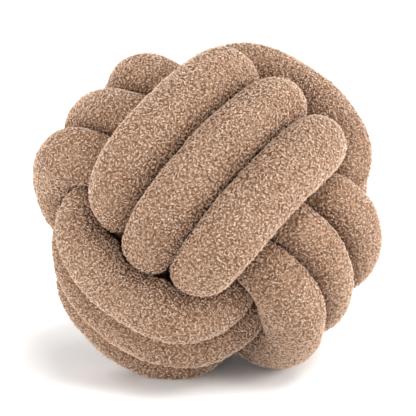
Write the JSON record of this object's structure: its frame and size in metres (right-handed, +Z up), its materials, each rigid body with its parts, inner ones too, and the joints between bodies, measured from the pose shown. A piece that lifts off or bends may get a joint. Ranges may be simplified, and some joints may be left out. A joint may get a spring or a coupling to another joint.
{
  "type": "knot cushion",
  "caption": "Soft ball-shaped cushion tied from one long stuffed tube of curly fleece, each face showing parallel strands that tuck under its neighbours.",
  "frame": {"origin": "centre of the bounding box's bottom face, on the surface the cushion stands on", "axes": "+Z up, -Y towards the viewer of the face with the three diagonal strands, +X to that viewer's right"},
  "size_m": [0.3036, 0.3138, 0.2855],
  "materials": {
    "boucle_fabric": "light brown curly fleece cloth, matt"
  },
  "bodies": {
    "root": {"knotted_tube": "boucle_fabric"}
  },
  "joints": []
}
